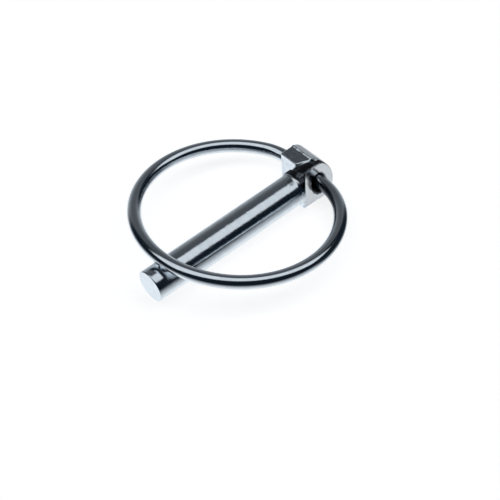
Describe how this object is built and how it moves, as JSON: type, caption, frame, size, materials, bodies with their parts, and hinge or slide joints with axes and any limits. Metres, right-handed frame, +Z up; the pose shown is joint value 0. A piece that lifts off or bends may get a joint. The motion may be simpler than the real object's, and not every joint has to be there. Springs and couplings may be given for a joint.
{
  "type": "lynch pin",
  "caption": "Quick-release pin with an offset cross head and a hinged wire ring that closes over the tip.",
  "frame": {"origin": "on the pin's axis, in the face of the collar that the pin seats on", "axes": "+X along the pin towards the head, so the tip is at the -X end; +Z up as the pin lies on the flat underside of its head; +Y towards the long side of the head"},
  "size_m": [0.0545, 0.051, 0.0115],
  "materials": {
    "plated_steel": "bright zinc plate",
    "plated_wire": "bright zinc plate on spring wire"
  },
  "bodies": {
    "pin": {"pin": "plated_steel"},
    "ring": {"ring": "plated_wire"}
  },
  "joints": [
    {"name": "ring_swing", "type": "hinge", "parent": "pin", "child": "ring", "pos_m": [0.0069, 0, 0], "axis": [0, 1, 0], "range_deg": [0, 345.5]}
  ]
}
